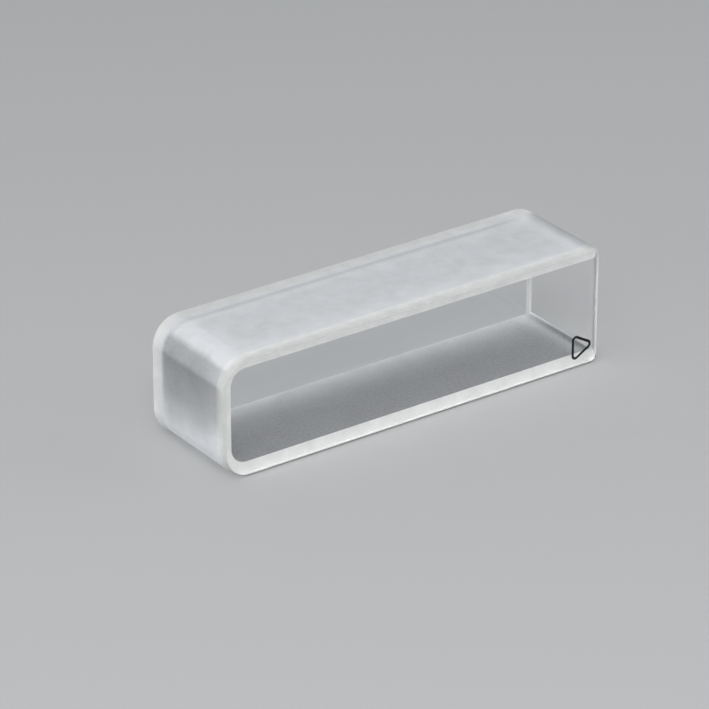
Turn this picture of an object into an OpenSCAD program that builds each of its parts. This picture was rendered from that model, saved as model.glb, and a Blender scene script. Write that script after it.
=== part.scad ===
// Cuvette: a square optical cell for a spectrophotometer, lying on one frosted side.
// A U-shaped frame of ground glass makes the base and two side walls. A polished window
// is fused over each open side of the U, so that light crosses from window to window.
// +X runs from the closed base to the open mouth, +Y from the front window to the rear
// window and +Z up. The origin is in the middle of the footprint, on the resting face.

/* [Cell] */
// Overall length, from the base to the mouth
cell_length = 45; // [20:0.5:60]
// Light path: the clear distance between the windows
light_path = 10; // [2:0.5:20]
// Clear distance between the frame's side walls
inside_width = 10; // [5:0.5:20]

/* [Frame] */
// Wall of the U-shaped frame, the same round the base
frame_wall = 1.25; // [0.8:0.05:2.5]
// Radius inside the frame's two base corners
inside_corner_r = 1.75; // [0.5:0.25:2.25]

/* [Windows] */
// Thickness of each window
window_thickness = 1.25; // [0.8:0.05:2.5]

/* [Ground edges] */
// Bevel on the cell's outer edges
edge_bevel = 0.35; // [0.1:0.05:0.6]
// Bevel round the inside of the mouth
mouth_bevel = 0.25; // [0.05:0.05:0.4]

/* [Hidden] */
$fn = 96;

// How far each cut runs past the faces that it opens
overrun = 0.5;

// Sizes over the whole cell
cell_width = inside_width + 2 * frame_wall;
cell_depth = light_path + 2 * window_thickness;
outside_corner_r = inside_corner_r + frame_wall;

// Places along the cell
base_x = -cell_length / 2;
mouth_x = cell_length / 2;
floor_x = base_x + frame_wall;

ground_glass = [0.85, 0.86, 0.88];
clear_glass = [0.88, 0.93, 0.95, 0.35];

// The cell is drawn in plan, with its length along X, its width along Y and the light
// path along Z. This turns it onto its side: width upwards, light path along Y, with
// the front window on the -Y side.
module on_its_side() {
    rotate([90, 0, 0]) children();
}

// Flat outline with a round corner on either side of its left end. It runs from
// x = left to x = right and from y = low to y = low + width. The right end's corners
// are cut off by bevel.
module round_based_outline(left, right, low, width, r, bevel) {
    high = low + width;
    arc_x = left + r;
    polygon([
        [arc_x, low], [right - bevel, low], [right, low + bevel],
        [right, high - bevel], [right - bevel, high], [arc_x, high],
    ]);
    translate([left, low + r]) square([r, width - 2 * r]);
    for (y = [low + r, high - r]) translate([arc_x, y]) circle(r = r);
}

// Outline of the whole cell, which the frame and both windows share
module cell_outline() {
    round_based_outline(base_x, mouth_x, 0, cell_width, outside_corner_r, edge_bevel);
}

// Outline of the space for the sample, run out past the mouth
module sample_outline() {
    round_based_outline(
        floor_x, mouth_x + overrun, frame_wall, inside_width, inside_corner_r, 0
    );
}

// Trapezium with its long side past the mouth. Its half height is half_size where the
// bevel starts, and it opens at 45 degrees.
module mouth_taper(half_size) {
    start_x = mouth_x - mouth_bevel;
    end_x = mouth_x + overrun;
    end_size = half_size + mouth_bevel + overrun;
    polygon([
        [start_x, -half_size], [end_x, -end_size], [end_x, end_size], [start_x, half_size],
    ]);
}

// Four-sided tapered cut that bevels the inside of the mouth: one trapezium spans the
// cell's width and the other its light path
module mouth_cut() {
    translate([0, cell_width / 2, 0]) intersection() {
        linear_extrude(cell_depth, center = true) mouth_taper(inside_width / 2);
        rotate([90, 0, 0])
            linear_extrude(cell_width, center = true) mouth_taper(light_path / 2);
    }
}

// Section of the bevel on a sharp edge at the origin, with glass at x < 0 and y < 0
module bevel_section() {
    polygon([
        [-edge_bevel - overrun, overrun], [overrun, -edge_bevel - overrun], [overrun, overrun],
    ]);
}

// Straight cut of that section along an edge of the plan. It runs length from the point
// start, along the angle heading, with the glass on its right.
module straight_bevel(start, heading, length) {
    translate(start)
        rotate([0, 0, heading])
            rotate([90, 0, 90]) linear_extrude(length) bevel_section();
}

// Quarter-round cut of that section about the point centre, from the angle first
module corner_bevel(centre, first) {
    translate(centre)
        rotate([0, 0, first])
            rotate_extrude(angle = 90) translate([outside_corner_r, 0]) bevel_section();
}

// Bevel right round the outer face of the front window
module face_bevels() {
    arc_x = base_x + outside_corner_r;
    low_arc_y = outside_corner_r;
    high_arc_y = cell_width - outside_corner_r;
    side_run = mouth_x + overrun - arc_x;
    translate([0, 0, cell_depth / 2]) {
        straight_bevel([mouth_x + overrun, 0], 180, side_run);
        corner_bevel([arc_x, low_arc_y], 180);
        straight_bevel([base_x, low_arc_y], 90, high_arc_y - low_arc_y);
        corner_bevel([arc_x, high_arc_y], 90);
        straight_bevel([arc_x, cell_width], 0, side_run);
        straight_bevel([mouth_x, cell_width + overrun], 270, cell_width + 2 * overrun);
    }
}

// U-shaped frame of ground glass: the cell's base and its two side walls
module frosted_frame() {
    color(ground_glass) on_its_side() difference() {
        linear_extrude(light_path, center = true) cell_outline();
        linear_extrude(light_path + 2 * overrun, center = true) sample_outline();
        mouth_cut();
    }
}

// Flat plate with the frame's outline, in its place over the front of the frame
module window() {
    on_its_side() difference() {
        translate([0, 0, light_path / 2]) linear_extrude(window_thickness) cell_outline();
        face_bevels();
        mouth_cut();
    }
}

// Polished window on the front of the frame, flush with it all round
module front_window() {
    color(clear_glass) window();
}

// Polished window on the back of the frame, the mirror image of the front one
module rear_window() {
    color(clear_glass) mirror([0, 1, 0]) window();
}

frosted_frame();
front_window();
rear_window();
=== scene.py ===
import bpy
import numpy as np
from mathutils import Matrix, Vector


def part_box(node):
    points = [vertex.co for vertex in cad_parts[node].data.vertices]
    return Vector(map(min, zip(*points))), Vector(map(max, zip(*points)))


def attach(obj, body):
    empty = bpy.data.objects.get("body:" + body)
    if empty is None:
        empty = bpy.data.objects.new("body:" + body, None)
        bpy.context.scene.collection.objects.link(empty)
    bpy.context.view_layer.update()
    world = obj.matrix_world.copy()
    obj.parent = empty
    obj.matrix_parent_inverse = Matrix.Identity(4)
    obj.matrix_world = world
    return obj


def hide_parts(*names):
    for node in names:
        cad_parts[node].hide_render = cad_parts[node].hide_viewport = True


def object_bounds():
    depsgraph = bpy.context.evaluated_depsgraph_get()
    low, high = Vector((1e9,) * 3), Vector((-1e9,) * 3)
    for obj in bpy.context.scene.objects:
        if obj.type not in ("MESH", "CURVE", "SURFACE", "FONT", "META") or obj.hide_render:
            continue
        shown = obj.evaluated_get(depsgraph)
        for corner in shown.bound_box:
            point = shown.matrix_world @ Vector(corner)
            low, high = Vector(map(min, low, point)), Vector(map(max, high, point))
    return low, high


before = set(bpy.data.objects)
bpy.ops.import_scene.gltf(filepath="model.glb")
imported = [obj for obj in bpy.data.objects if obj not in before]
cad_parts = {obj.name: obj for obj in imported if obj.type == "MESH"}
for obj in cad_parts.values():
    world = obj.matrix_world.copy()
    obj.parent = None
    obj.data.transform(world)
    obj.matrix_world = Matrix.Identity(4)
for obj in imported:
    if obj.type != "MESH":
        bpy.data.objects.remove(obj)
cad_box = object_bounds()


# Frosted frame
# One U-shaped piece of fused quartz, which is the cell's base and its two side walls.
# It is ground matt all over with fine abrasive, and its open sides are fused to the windows.

mm = 0.001
frame_low, frame_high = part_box("frosted_frame")
base_x = frame_low.x
mouth_x = frame_high.x
bottom_z = frame_low.z
top_z = frame_high.z
joint_y = frame_high.y
frame_wall = 1.25 * mm
inside_corner_r = 1.75 * mm
outer_lip_r = 0.42 * mm
inner_lip_r = 0.14 * mm
seam_depth = 0.005 * mm
seam_gap = 0.003 * mm
lip_steps = 5
side_steps = 40
bend_steps = 24
base_steps = 6


def u_line(inset, lip):
    """Line round the U in the XZ plane, from the mouth's lower lip round the base to its upper lip.

    It lies inset from the cell's outline: a quarter circle at the lip, a straight side, a quarter circle
    at the bend and half of the base, and then their mirror image. The side's points are closer together
    by the lip. The lip's radius is the size of lip, positive outside the wall and negative inside it.
    """
    low = bottom_z + inset
    bend_r = inside_corner_r + frame_wall - inset
    bend_x = base_x + inset + bend_r
    turn_x = mouth_x - abs(lip)
    lip_turn = np.linspace(0, np.pi / 2, lip_steps, endpoint=False)
    lip_arc = np.column_stack([turn_x + abs(lip) * np.cos(lip_turn), low + lip - lip * np.sin(lip_turn)])
    side_share = np.linspace(0, 1, side_steps, endpoint=False) ** 2
    side_x = turn_x + (bend_x - turn_x) * side_share
    side = np.column_stack([side_x, np.full(side_steps, low)])
    turn = np.linspace(0, np.pi / 2, bend_steps, endpoint=False)
    bend = np.column_stack([bend_x - bend_r * np.sin(turn), low + bend_r - bend_r * np.cos(turn)])
    base_z = np.linspace(low + bend_r, (bottom_z + top_z) / 2, base_steps)
    base = np.column_stack([np.full(base_steps, base_x + inset), base_z])
    lower = np.vstack([lip_arc, side, bend, base])
    upper = lower[-2::-1] * [1, -1] + [0, bottom_z + top_z]
    return np.vstack([lower, upper])


outer_line = u_line(0, outer_lip_r)
inner_line = u_line(frame_wall, -inner_lip_r)
stations = len(outer_line)
seam_share = seam_depth / frame_wall


def across_wall(share):
    """Line round the U that lies this share of the way through the wall, from outside to inside."""
    return outer_line * (1 - share) + inner_line * share


def upright(line, y):
    """Points of a line in the XZ plane, moved to this y: one number, or one for each point."""
    return np.column_stack([line[:, 0], np.broadcast_to(y, len(line)), line[:, 1]])


smooth_limit = np.radians(25)


def new_piece(name, points, faces, face_slots, materials, whiteness_and_painted_light=None):
    """Mesh object of these points and faces, smooth on its first material and flat on the others.

    Edges that turn by more than smooth_limit stay sharp. whiteness, if given, is a value for each point,
    with painted light and shade in it, which the materials can read.
    """
    slots = np.asarray(face_slots, dtype=np.int32)
    mesh = bpy.data.meshes.new(name)
    mesh.from_pydata(points.tolist(), [], faces)
    mesh.polygons.foreach_set("material_index", slots)
    mesh.set_sharp_from_angle(angle=smooth_limit)
    mesh.polygons.foreach_set("use_smooth", slots == 0)
    if whiteness_and_painted_light is not None:
        mesh.attributes.new("whiteness_and_painted_light", "FLOAT", "POINT").data.foreach_set("value", whiteness_and_painted_light)
    for material in materials:
        mesh.materials.append(material)
    piece = bpy.data.objects.new(name, mesh)
    bpy.context.scene.collection.objects.link(piece)
    return piece


class Shade:
    """A socket of a material's nodes: sums and products of shades and numbers add Math nodes."""

    def __init__(self, tree, socket=None):
        self.tree = tree
        self.socket = socket

    def add(self, kind, settings=None, sockets=None, output=0):
        """Adds a node of this kind, sets its settings and then its sockets, and gives one output."""
        node = self.tree.nodes.new(kind)
        for name, value in (settings or {}).items():
            setattr(node, name, value)
        for name, value in (sockets or {}).items():
            if isinstance(value, Shade):
                self.tree.links.new(value.socket, node.inputs[name])
            else:
                node.inputs[name].default_value = value
        return Shade(self.tree, node.outputs[output]) if node.outputs else None

    def maths(self, operation, first, second):
        """Adds a Math node that works on two shades or numbers."""
        return self.add("ShaderNodeMath", {"operation": operation}, {0: first, 1: second})

    def __add__(self, other):
        return self.maths("ADD", self, other)

    def __radd__(self, other):
        return self.maths("ADD", other, self)

    def __sub__(self, other):
        return self.maths("SUBTRACT", self, other)

    def __rsub__(self, other):
        return self.maths("SUBTRACT", other, self)

    def __mul__(self, other):
        return self.maths("MULTIPLY", self, other)

    def __rmul__(self, other):
        return self.maths("MULTIPLY", other, self)


def new_finish(name):
    """An empty material of this name, and a Shade to build its nodes from."""
    material = bpy.data.materials.new(name)
    material.use_nodes = True
    material.node_tree.nodes.clear()
    return material, Shade(material.node_tree)


noise_mean = 0.5


def noise(make, per_metre, detail, roughness):
    """Noise about noise_mean on Object coordinates, with this many of its largest features to a metre."""
    place = make.add("ShaderNodeTexCoord", output="Object")
    sockets = {"Vector": place, "Scale": per_metre, "Detail": detail, "Roughness": roughness}
    return make.add("ShaderNodeTexNoise", sockets=sockets)


def colour_between(make, share, dark, pale):
    """Colour that lies this share of the way from dark to pale, from the Mix node's colour sockets."""
    return make.add("ShaderNodeMix", {"data_type": "RGBA"}, {0: share, 6: dark, 7: pale}, output=2)


def let_lamps_through(make, shader, share):
    """Ends a material with this shader, through which lamps shine with this share of their strength."""
    through = make.add("ShaderNodeBsdfTransparent", sockets={"Color": (share, share, share, 1)})
    from_lamp = make.add("ShaderNodeLightPath", output="Is Shadow Ray")
    mixed = make.add("ShaderNodeMixShader", sockets={0: from_lamp, 1: shader, 2: through})
    make.add("ShaderNodeOutputMaterial", sockets={"Surface": mixed})


quartz_ior = 1.46
black = (0, 0, 0, 1)
clouds_per_metre = 560.0
cloud_contrast = 0.36
cloud_low = 1 - cloud_contrast * noise_mean
grain_per_metre = 3200.0
dim_grain = 0.33
grain_fall = 0.22
grain_depth = 0.03 * mm
grain_strength = 0.5
least_roughness = 0.42
cloud_roughness = 0.12
ground_lamp_share = 0.75


def ground_quartz(name, transmission, tint):
    """Ground quartz, which scatters light: the tint times each point's white, which holds painted light and
    shade, with clouds and grain.

    The clouds multiply the whiteness by a value about 1. The grain adds a value about 0, which is
    largest on dim faces. Lamps shine through in part, because ground quartz takes up little light.
    """
    material, make = new_finish(name)
    clouds = noise(make, clouds_per_metre, detail=5.0, roughness=0.6)
    grain = noise(make, grain_per_metre, detail=6.0, roughness=0.7)
    # The point attribute holds the quartz's white with painted light and shade in it.
    whiteness_and_painted_light = make.add("ShaderNodeAttribute", {"attribute_name": "whiteness_and_painted_light"}, output="Fac")
    cloudy = whiteness_and_painted_light * (cloud_low + cloud_contrast * clouds)
    grainy = (dim_grain - grain_fall * whiteness_and_painted_light) * (grain - noise_mean)
    bump = make.add(
        "ShaderNodeBump",
        sockets={"Strength": grain_strength, "Distance": grain_depth, "Height": grain},
    )
    ground = make.add(
        "ShaderNodeBsdfPrincipled",
        sockets={
            "Base Color": colour_between(make, cloudy + grainy, black, tint),
            "Roughness": least_roughness + cloud_roughness * clouds,
            "IOR": quartz_ior,
            "Transmission Weight": transmission,
            "Normal": bump,
        },
    )
    let_lamps_through(make, ground, ground_lamp_share)
    return material


def fused_joint():
    """The joint between two fused pieces is solid quartz, so light crosses it unbent."""
    material, make = new_finish("fused_joint")
    through = make.add("ShaderNodeBsdfTransparent")
    make.add("ShaderNodeOutputMaterial", sockets={"Surface": through})
    return material


ground_wall = ground_quartz("ground_wall", transmission=0.4, tint=(0.952, 0.978, 1.0, 1))
ground_edge = ground_quartz("ground_edge", transmission=0.2, tint=(0.945, 0.949, 0.939, 1))
joint = fused_joint()

# The wall's section, as the share of the way through it and the place along the light path. The frame
# stops short of the windows by seam_gap, so that no two faces lie in one plane. The sides that face
# the windows have the second material.
wall_y = joint_y - seam_gap
across_steps = 40
across = np.linspace(-1, 1, across_steps + 1) * (wall_y - seam_depth)
wall_section = np.vstack(
    [
        np.column_stack([np.zeros_like(across), across]),
        [[seam_share, wall_y], [1 - seam_share, wall_y]],
        np.column_stack([np.ones_like(across), -across]),
        [[1 - seam_share, -wall_y], [seam_share, -wall_y]],
    ]
)
section_count = len(wall_section)
section_slots = [0] * (across_steps + 1) + [1] + [0] * (across_steps + 2) + [1, 0]


def white_at(places, knots):
    """Value at each place on straight runs between the knots, which are pairs of a place and a value."""
    knot_places, knot_values = np.transpose(knots)
    return np.interp(places, knot_places, knot_values)


def soft_step(value, start, end):
    """0 before start and 1 after end, with a smooth S curve between them."""
    share = np.clip((value - start) / (end - start), 0, 1)
    return share * share * (3 - 2 * share)


# How white the outside is, by the distance along it from the middle of the base, in millimetres, with the
# upper side positive. It is painted light and shade: painted shade dims the base, standing in for light that
# passes on into the cell, and a painted highlight brightens the upper bend, where solid quartz gathers
# light.
step_length = np.linalg.norm(np.diff(outer_line, axis=0), axis=1)
along = np.concatenate([[0], np.cumsum(step_length)])
along = (along - along[-1] / 2) / mm
from_base = np.abs(along)
middle_white = white_at(
    along,
    [
        # Painted shade: the lower bend and the base, dimmer upwards
        (-4, 1.0),
        (-2.3, 0.74),
        (0, 0.485),
        (3.4, 0.36),
        # Painted highlight: the upper bend, brighter on its upper half
        (3.8, 0.52),
        (5.2, 0.52),
        (5.9, 0.91),
        (7.7, 0.97),
        # The upper side
        (8.2, 0.825),
        (41, 0.81),
        (46.9, 0.79),
        # The mouth, painted paler just before its lip and painted dim on it
        (48.2, 0.84),
        (48.5, 0.8),
        (49, 0.6),
        (49.5, 0.45),
    ],
)[:, None]

# Across the light path, also in millimetres, painted light makes it brighter by the front window and painted
# shade dimmer towards the rear one, up to a painted pale rim. A painted shade line stands for the rear
# window's inner face, seen through the sides.
place_y = across / mm
base_end = 3.2
side_start = 8.6
loss_end_y = 3.4
line_y = 4.15
line_half_width = 0.4
rim_start_y = 4.0
rim_end_y = 4.7
front_painted_light = white_at(from_base, [(base_end, 0.017), (side_start, 0.008)])[:, None]
rear_painted_shade = white_at(from_base, [(base_end, 0.055), (side_start, 0.038)])[:, None]
# Painted light by the front window and painted shade towards the rear one.
slope = 1 + front_painted_light * np.minimum(place_y, 0) ** 2 - rear_painted_shade * np.clip(place_y, 0, loss_end_y)
# A painted shade line where the rear window's inner face would show through the sides.
line_depth = white_at(along, [(base_end, 0), (side_start, 0.32), (45.8, 0.32), (48.2, 0)])[:, None]
painted_shade_line = 1 - line_depth * np.exp(-(((place_y - line_y) / line_half_width) ** 2))
wall_white = np.minimum(middle_white * slope * painted_shade_line, 1)
# The pale rear rim is painted light.
rear_rim_painted_light = white_at(from_base, [(base_end, 0.75), (side_start, 0.66)])[:, None]
rear_rim = soft_step(place_y, rim_start_y, rim_end_y)
outside_white = wall_white * (1 - rear_rim) + rear_rim_painted_light * rear_rim

# The inside is painted light and shade: painted shade makes it dim by the front window, and painted light
# pales it with the fourth power of the way to the rear one. By the mouth it has a painted pale band, a
# painted dim one and a painted bright lip.
inner_floor_shade = 0.203
rear_painted_light = 0.57
way_to_rear = np.linspace(1, 0, across_steps + 1)
mouth_painted_light = white_at(
    from_base,
    [
        # The painted pale band
        (46.2, 0),
        (47.2, 0.04),
        (48.1, 0.14),
        (48.4, 0.11),
        # The painted dim band and the painted bright lip
        (48.7, -0.04),
        (49.1, -0.12),
        (49.3, 0.05),
        (49.45, 0.3),
    ],
)[:, None]
inside_white = inner_floor_shade + rear_painted_light * way_to_rear ** 4 + mouth_painted_light
# The joint faces are painted brighter on the upper side than on the lower, as painted light and shade.
joint_white = white_at(along, [(-8, 0.75), (8, 0.92)])[:, None] * [1, 1]
frame_white = np.hstack([outside_white, joint_white, inside_white, joint_white])

frame_points = np.stack(
    [upright(across_wall(share), y) for share, y in wall_section], axis=1
).reshape(-1, 3)
at_station = np.arange(stations - 1)[:, None] * section_count
this_side = np.arange(section_count)
next_side = np.roll(this_side, -1)
wall_quads = np.stack(
    [
        at_station + this_side,
        at_station + section_count + this_side,
        at_station + section_count + next_side,
        at_station + next_side,
    ],
    axis=-1,
).reshape(-1, 4)
lower_lip = this_side
upper_lip = (stations - 1) * section_count + this_side[::-1]
frame_faces = wall_quads.tolist() + [lower_lip.tolist(), upper_lip.tolist()]
frame_slots = np.concatenate([np.tile(section_slots, stations - 1), [1, 1]])
frosted_frame = new_piece(
    "frosted_frame_glass",
    frame_points,
    frame_faces,
    frame_slots,
    [ground_wall, ground_edge],
    frame_white.ravel(),
)
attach(frosted_frame, "root")
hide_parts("frosted_frame")


# Windows
# Two flat plates of fused quartz with the frame's outline, polished on both faces.
# Their edges are rounded and ground, and they are fused over the frame's open sides.

outer_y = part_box("rear_window")[1].y
window_tint = (0.99, 0.995, 1.0, 1)
haze_per_metre = 180.0
haze_roughness = 0.02
clear_lamp_share = 1.0


def polished_quartz():
    """Polished quartz: clear, bending light as quartz does, and letting lamps light what is inside."""
    material, make = new_finish("polished_window")
    haze = noise(make, haze_per_metre, detail=4.0, roughness=0.6)
    glass = make.add(
        "ShaderNodeBsdfPrincipled",
        sockets={
            "Base Color": window_tint,
            "Roughness": haze_roughness * haze,
            "IOR": quartz_ior,
            "Transmission Weight": 1.0,
        },
    )
    let_lamps_through(make, glass, clear_lamp_share)
    return material


def inset_outline(outline, inset):
    """Closed outline moved inwards by inset: each corner goes along the mitre of its two sides."""
    ahead = np.roll(outline, -1, axis=0) - outline
    ahead /= np.linalg.norm(ahead, axis=1, keepdims=True)
    inward = np.column_stack([ahead[:, 1], -ahead[:, 0]])
    before = np.roll(inward, 1, axis=0)
    share = 1 + np.sum(inward * before, axis=1, keepdims=True)
    return outline + inset * (inward + before) / share


def strip(first, second):
    """Quads between two rows of points of the same length."""
    return np.column_stack([first[:-1], first[1:], second[1:], second[:-1]]).tolist()


polished = polished_quartz()
face_edge_steps = 5
plain_edge_steps = 5
face_side_painted_shade = 0.08
middle_painted_shade = 0.15
front_seam_painted_shade = 0.82
rear_seam_painted_light = 1.08


def window_plate(name, side, face_edge_r, corner_r, edge_white, seam_white, end_white, lip_white):
    """Plate with rings of points from its outer face to the joint, then the joint and the inner face.

    The rings follow the U's outer line and close across the mouth, through the ends of its inner line.
    A quarter circle of radius face_edge_r rounds the outer face's edge. The corners at the mouth have the
    frame's radius at the joint, and it grows along a quarter ellipse to corner_r at the face. The inner
    face ends in a lip. side is -1 for the front window and 1 for the rear. edge_white, seam_white, end_white
    and lip_white are whites with painted light and shade in them: those of the rounded edge, of the edge
    by the joint, and of the end at the mouth by the outer face and by the lip.
    """
    joint_outline = np.vstack([outer_line, inner_line[-1], inner_line[0]])
    clear_of_corner = corner_r + face_edge_r
    face_ends = [[mouth_x, top_z - clear_of_corner], [mouth_x, bottom_z + clear_of_corner]]
    face_outline = np.vstack([u_line(0, corner_r), face_ends])
    ring = len(joint_outline)
    joint_edge_y = np.full(ring, joint_y + seam_depth)
    joint_edge_y[stations:] = joint_y + inner_lip_r
    turn = np.linspace(np.pi / 2, 0, face_edge_steps + 1)
    round_edge = [
        upright(inset_outline(face_outline, face_edge_r * inset), outer_y - face_edge_r * (1 - rise))
        for inset, rise in zip(1 - np.cos(turn), np.sin(turn))
    ]
    plain_share = np.linspace(1, 0, plain_edge_steps + 1)[1:, None]
    grown = 1 - np.sqrt(1 - plain_share ** 2)
    plain_edge_y = joint_edge_y + (outer_y - face_edge_r - joint_edge_y) * plain_share
    plain_outlines = joint_outline + (face_outline - joint_outline) * grown[..., None]
    plain_edge = [upright(outline, y) for outline, y in zip(plain_outlines, plain_edge_y)]
    joint_rows = [upright(across_wall(share), joint_y) for share in (seam_share, 1 - seam_share)]
    points = np.vstack(round_edge + plain_edge + joint_rows)
    points[:, 1] *= side

    ring_count = len(round_edge) + len(plain_edge)
    rings = np.arange(ring_count * ring).reshape(ring_count, ring)
    edge_ring = rings[-1]
    joint_outer, joint_inner = np.arange(ring_count * ring, len(points)).reshape(2, stations)
    closed = np.append(np.arange(ring), 0)
    lip_top = edge_ring[stations]
    lip_low = edge_ring[stations + 1]
    low_corner = joint_inner[: lip_steps + 1]
    top_corner = joint_inner[-lip_steps - 1:]
    lips = [
        [edge_ring[stations - 1], lip_top, joint_inner[-1], joint_outer[-1]],
        [lip_top, *top_corner],
        [lip_top, lip_low, low_corner[-1], top_corner[0]],
        [lip_low, *low_corner],
        [lip_low, edge_ring[0], joint_outer[0], joint_inner[0]],
    ]
    ground_faces = strip(edge_ring[:stations], joint_outer) + lips
    for first, second in zip(rings, rings[1:]):
        ground_faces += strip(first[closed], second[closed])
    clear_faces = [rings[0][::-1].tolist(), joint_inner[lip_steps:-lip_steps].tolist()]
    joint_faces = strip(joint_outer, joint_inner)
    faces = [list(face) for face in ground_faces + clear_faces + joint_faces]
    if side > 0:
        faces = [face[::-1] for face in faces]
    slots = np.repeat([0, 1, 2], [len(ground_faces), len(clear_faces), len(joint_faces)])

    round_white = np.append(edge_white, [end_white, end_white])
    # Painted shade dims the rounded edge on its face side and in its middle.
    by_face = soft_step(turn, 0, np.pi / 4)[:, None]
    ring_white = round_white * (1 - face_side_painted_shade * by_face - middle_painted_shade * np.sin(2 * turn)[:, None])
    joint_edge_white = np.append(seam_white, [lip_white, lip_white])
    plain_white = joint_edge_white + (round_white - joint_edge_white) * plain_share
    inner_white = seam_white.copy()
    inner_white[[lip_steps, -lip_steps - 1]] = lip_white
    plate_white = np.concatenate([ring_white.ravel(), plain_white.ravel(), seam_white, inner_white])
    plate = new_piece(name, points, faces, slots, [ground_edge, polished, joint], plate_white)
    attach(plate, "root")
    return plate


# Painted light and shade on the front window: its rounded edge is painted dim on the lower side, its seam
# edge dimmer than the frame beside it, and its end dims from the outer face to the lip.
front_window = window_plate(
    "front_window_glass",
    side=-1,
    face_edge_r=0.22 * mm,
    corner_r=0.6 * mm,
    edge_white=white_at(along, [(-side_start, 0.3), (-base_end, 0.7)]),
    seam_white=front_seam_painted_shade * outside_white[:, 0],
    end_white=1.0,
    lip_white=0.3,
)
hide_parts("front_window")
# Painted light and shade on the rear window: its rounded edge is painted paler on the base than on the
# sides, and its seam edge paler than the frame beside it.
rear_window = window_plate(
    "rear_window_glass",
    side=1,
    face_edge_r=0.25 * mm,
    corner_r=1.1 * mm,
    edge_white=white_at(from_base, [(base_end, 0.88), (side_start, 0.72)]),
    seam_white=rear_seam_painted_light * outside_white[:, -1],
    end_white=0.8,
    lip_white=0.8,
)
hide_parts("rear_window")


# Orientation mark
# A small triangle printed in black enamel on the front window, by the mouth.
# It shows which window faces the light, and it is baked onto the glass.

mark_x = 20.2 * mm
mark_z = 2.3 * mm
mark_reach = 0.95 * mm
mark_corner_r = 0.35 * mm
mark_stroke = 0.28 * mm
mark_thickness = 0.015 * mm
mark_corners = np.radians([0, 120, 240])[:, None]
corner_half_turn = np.radians(60)
corner_steps = 12


def mark_ring(radius, y):
    """Triangle with round corners that points to the mouth: an arc of this radius about each corner."""
    turn = mark_corners + np.linspace(-corner_half_turn, corner_half_turn, corner_steps + 1)
    x = mark_x + mark_reach * np.cos(mark_corners) + radius * np.cos(turn)
    z = mark_z + mark_reach * np.sin(mark_corners) + radius * np.sin(turn)
    return np.column_stack([x.ravel(), np.full(x.size, y), z.ravel()])


deep_black = (0.004, 0.004, 0.0045, 1)
thin_black = (0.014, 0.014, 0.015, 1)
unevenness_per_metre = 6000.0
enamel_roughness = 0.4
uneven_roughness = 0.2
enamel_gloss = 0.2


def black_enamel():
    """Black enamel: nearly black, with a soft sheen and a faintly uneven surface."""
    material, make = new_finish("black_enamel")
    uneven = noise(make, unevenness_per_metre, detail=3.0, roughness=0.5)
    shader = make.add(
        "ShaderNodeBsdfPrincipled",
        sockets={
            "Base Color": colour_between(make, uneven, deep_black, thin_black),
            "Roughness": enamel_roughness + uneven_roughness * uneven,
            "Specular IOR Level": enamel_gloss,
        },
    )
    make.add("ShaderNodeOutputMaterial", sockets={"Surface": shader})
    return material


front_y = -outer_y
proud_y = front_y - mark_thickness
wide_r = mark_corner_r + mark_stroke / 2
narrow_r = mark_corner_r - mark_stroke / 2
mark_rings = [
    mark_ring(wide_r, front_y),
    mark_ring(wide_r, proud_y),
    mark_ring(narrow_r, proud_y),
    mark_ring(narrow_r, front_y),
]
mark_count = len(mark_rings[0])
ring_start = np.arange(len(mark_rings))[:, None] * mark_count
next_start = np.roll(ring_start, -1, axis=0)
this_point = np.arange(mark_count)
next_point = np.roll(this_point, -1)
mark_quads = np.stack(
    [
        ring_start + this_point,
        ring_start + next_point,
        next_start + next_point,
        next_start + this_point,
    ],
    axis=-1,
).reshape(-1, 4)
orientation_mark = new_piece(
    "orientation_mark",
    np.vstack(mark_rings),
    mark_quads.tolist(),
    np.zeros(len(mark_quads)),
    [black_enamel()],
)
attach(orientation_mark, "root")


# Studio
# A pale floor under the cell, a large soft lamp above its front left, a weaker one on the right, a low
# one on the left and an even pale surround, seen by a long lens from the photograph's viewing angle.

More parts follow.
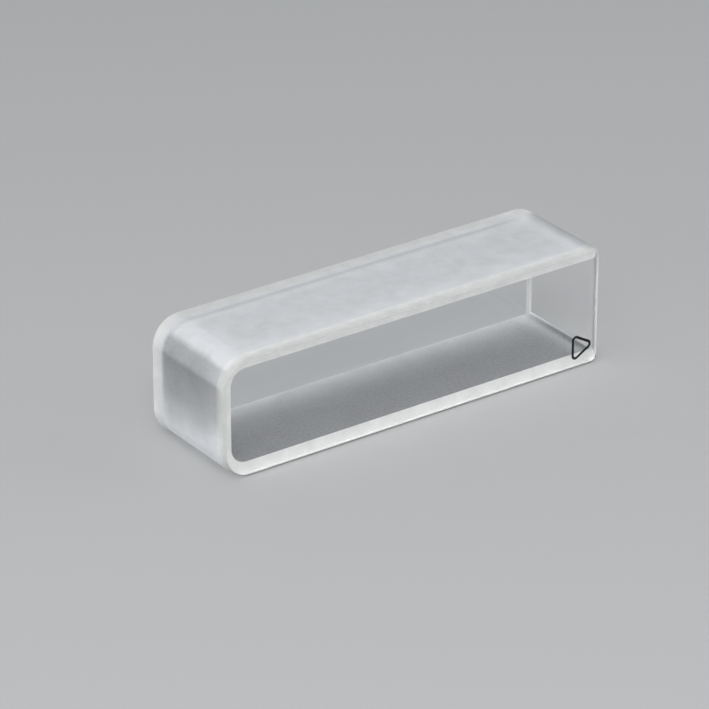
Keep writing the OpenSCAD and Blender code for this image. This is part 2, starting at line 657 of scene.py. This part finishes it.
floor_drop = 0.02 * mm
floor_half = 1.5
floor_colour = (0.45, 0.455, 0.46, 1)
floor_roughness = 0.9
floor_gloss = 0.1
floor_mesh = bpy.data.meshes.new("floor")
floor_corners = floor_half * np.array([[-1, -1], [1, -1], [1, 1], [-1, 1]])
floor_level = np.full(len(floor_corners), bottom_z - floor_drop)
floor_points = np.column_stack([floor_corners, floor_level])
floor_mesh.from_pydata(floor_points.tolist(), [], [[0, 1, 2, 3]])
floor = bpy.data.objects.new("floor", floor_mesh)
bpy.context.scene.collection.objects.link(floor)
floor_finish, make = new_finish("pale_floor")
floor_shader = make.add(
    "ShaderNodeBsdfPrincipled",
    sockets={
        "Base Color": floor_colour,
        "Roughness": floor_roughness,
        "Specular IOR Level": floor_gloss,
    },
)
make.add("ShaderNodeOutputMaterial", sockets={"Surface": floor_shader})
floor_mesh.materials.append(floor_finish)

cell_centre = (cad_box[0] + cad_box[1]) / 2


def soft_lamp(name, direction, distance, size, watts):
    """Square area lamp at this distance from the cell, in this direction, turned to face it."""
    lamp_data = bpy.data.lights.new(name, "AREA")
    lamp_data.shape = "SQUARE"
    lamp_data.size = size
    lamp_data.energy = watts
    lamp = bpy.data.objects.new(name, lamp_data)
    towards = Vector(direction).normalized()
    lamp.location = cell_centre + towards * distance
    lamp.rotation_euler = towards.to_track_quat("Z", "Y").to_euler()
    bpy.context.scene.collection.objects.link(lamp)


soft_lamp("key_lamp", direction=(-0.46, -0.55, 0.75), distance=0.6, size=0.35, watts=2.6)
soft_lamp("fill_lamp", direction=(0.8, -0.5, 0.5), distance=0.7, size=0.4, watts=0.8)
soft_lamp("low_lamp", direction=(-0.9, -0.35, 0.2), distance=0.6, size=0.3, watts=0.9)

surround_colour = (0.95, 0.97, 1.0, 1)
surround_strength = 0.45
surround = bpy.data.worlds.new("surround")
surround.use_nodes = True
background = surround.node_tree.nodes["Background"]
background.inputs["Color"].default_value = surround_colour
background.inputs["Strength"].default_value = surround_strength
bpy.context.scene.world = surround

view_azimuth = np.radians(-35.42)
view_elevation = np.radians(26.6)
camera_distance = 432.3 * mm
aim_right = -2.395 * mm
aim_up = -1.366 * mm
camera_data = bpy.data.cameras.new("camera")
camera_data.sensor_width = 36.0
camera_data.lens = 223.4
camera_data.clip_start = 0.01
camera = bpy.data.objects.new("camera", camera_data)
back = Vector(
    (
        np.sin(view_azimuth) * np.cos(view_elevation),
        -np.cos(view_azimuth) * np.cos(view_elevation),
        np.sin(view_elevation),
    )
)
turned = back.to_track_quat("Z", "Y")
offset = turned @ Vector((aim_right, aim_up, camera_distance))
camera.matrix_world = Matrix.LocRotScale(cell_centre + offset, turned, None)
bpy.context.scene.collection.objects.link(camera)
bpy.context.scene.camera = camera
bpy.context.scene.view_settings.view_transform = "Standard"
